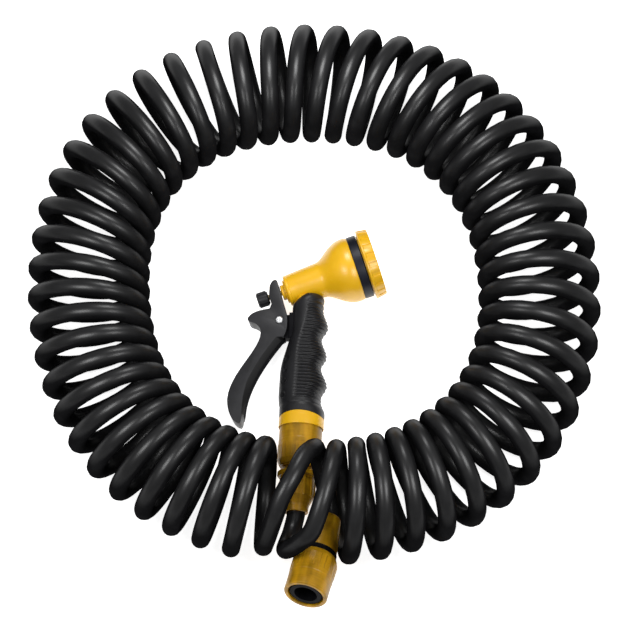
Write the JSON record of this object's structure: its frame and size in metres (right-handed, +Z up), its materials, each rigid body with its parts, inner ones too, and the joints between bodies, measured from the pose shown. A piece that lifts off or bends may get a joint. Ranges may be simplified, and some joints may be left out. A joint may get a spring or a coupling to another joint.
{
  "type": "coiled hose with spray gun",
  "caption": "Springy hose coiled in a ring round its own trigger spray gun, with snap connectors on both ends and a turning spray dial.",
  "frame": {"origin": "floor level under the middle of the spray gun and its connector", "axes": "+Z up from the floor, +Y from the gun's connector up its handle, +X towards the side where the spray head points"},
  "size_m": [0.4294, 0.4602, 0.0927],
  "materials": {
    "yellow_plastic": "golden yellow moulded plastic, semi-gloss",
    "amber_plastic": "translucent amber moulded plastic",
    "hose_skin": "near-black satin hose skin",
    "soft_rubber": "soft matt grip rubber",
    "seal_rubber": "matt seal rubber",
    "black_plastic": "black moulded plastic",
    "charcoal_plastic": "charcoal moulded plastic, satin",
    "steel": "plain stainless steel",
    "brass": "machined brass"
  },
  "bodies": {
    "hose": {"hose_coil": "hose_skin", "hose_end_gun": "hose_skin", "hose_end_tap": "hose_skin", "gun_conn_core": "amber_plastic", "gun_conn_claws": "amber_plastic", "gun_conn_spring": "steel", "gun_conn_seal": "seal_rubber", "gun_conn_collet": "amber_plastic", "gun_conn_nut": "amber_plastic", "tap_conn_core": "black_plastic", "tap_conn_claws": "black_plastic", "tap_conn_spring": "steel", "tap_conn_seal": "seal_rubber", "tap_conn_collet": "amber_plastic", "tap_conn_nut": "amber_plastic", "tap_conn_band": "black_plastic"},
    "gun": {"gun_body": "yellow_plastic", "grip_cover": "soft_rubber", "pivot_bracket": "black_plastic", "pivot_pin": "steel", "rear_gland": "yellow_plastic", "gland_seal": "seal_rubber", "closing_spring": "steel", "turret_base": "black_plastic", "outlet_seal": "seal_rubber", "detent_ball": "steel", "detent_spring": "steel", "dial_screw": "steel", "hose_adaptor": "yellow_plastic", "adaptor_o_ring": "seal_rubber"},
    "trigger": {"trigger_lever": "charcoal_plastic"},
    "stem": {"valve_stem": "brass", "valve_washer": "seal_rubber"},
    "knob": {"flow_knob": "black_plastic"},
    "dial": {"spray_dial": "yellow_plastic", "face_plate": "black_plastic"},
    "gun_sleeve": {"gun_conn_sleeve": "amber_plastic"},
    "tap_sleeve": {"tap_conn_sleeve": "amber_plastic"}
  },
  "joints": [
    {"name": "hose_swivel", "type": "hinge", "parent": "hose", "child": "gun", "pos_m": [-0.00591, -0.05851, 0.01678], "axis": [-0.0573, -0.9978, -0.0343], "continuous": true},
    {"name": "trigger_pivot", "type": "hinge", "parent": "gun", "child": "trigger", "pos_m": [-0.02073, 0.03961, 0.01765], "axis": [-0.1218, -0.0272, 0.9922], "range_deg": [0, 15], "stiffness_Nm_per_rad": 0.8, "springref_deg": -28.65},
    {"name": "stem_slide", "type": "slide", "parent": "gun", "child": "stem", "axis": [-0.9482, -0.2923, -0.1244], "range_m": [0, 0.0062], "deforming": ["closing_spring"]},
    {"name": "knob_turn", "type": "hinge", "parent": "stem", "child": "knob", "pos_m": [-0.03406, 0.05964, 0.01656], "axis": [0.9482, 0.2923, 0.1244], "continuous": true},
    {"name": "dial_turn", "type": "hinge", "parent": "gun", "child": "dial", "pos_m": [0.04398, 0.08369, 0.0268], "axis": [0.9482, 0.2923, 0.1244], "continuous": true},
    {"name": "gun_sleeve_slide", "type": "slide", "parent": "hose", "child": "gun_sleeve", "axis": [-0.0573, -0.9978, -0.0343], "range_m": [0, 0.0035], "stiffness_N_per_m": 500, "springref_m": -0.008, "deforming": ["gun_conn_spring"]},
    {"name": "tap_sleeve_slide", "type": "slide", "parent": "hose", "child": "tap_sleeve", "axis": [0.2537, 0.9272, -0.2756], "range_m": [0, 0.0035], "stiffness_N_per_m": 500, "springref_m": -0.008, "deforming": ["tap_conn_spring"]}
  ],
  "couplings": [
    {"joint": "stem_slide", "follows": "trigger_pivot", "m_per_rad": 0.023067}
  ]
}
